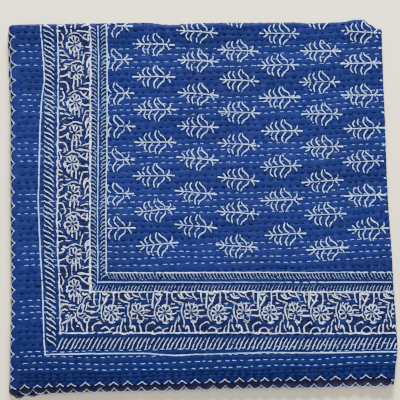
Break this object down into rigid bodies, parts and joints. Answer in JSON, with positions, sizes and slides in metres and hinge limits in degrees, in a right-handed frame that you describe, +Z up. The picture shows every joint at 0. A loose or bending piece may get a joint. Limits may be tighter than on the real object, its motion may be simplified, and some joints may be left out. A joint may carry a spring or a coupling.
{
  "type": "kantha quilt",
  "caption": "Hand-quilted, block-printed cotton throw, folded in half twice and lying flat, with scalloped, thread-edged hems.",
  "frame": {"origin": "middle of the folded quilt's footprint, on the surface it lies on", "axes": "+X towards the side fold, +Y towards the top fold, +Z up out of the pile"},
  "size_m": [0.5732, 0.5595, 0.0167],
  "materials": {
    "printed_cotton": "matte block-printed cotton, indigo blue",
    "lining": "matte dark navy cotton, the back of the quilt",
    "print": "matte off-white block print in the cotton",
    "white_thread": "soft off-white cotton thread",
    "navy_thread": "soft navy cotton thread"
  },
  "bodies": {
    "root": {"quilt": "printed_cotton"}
  },
  "joints": []
}
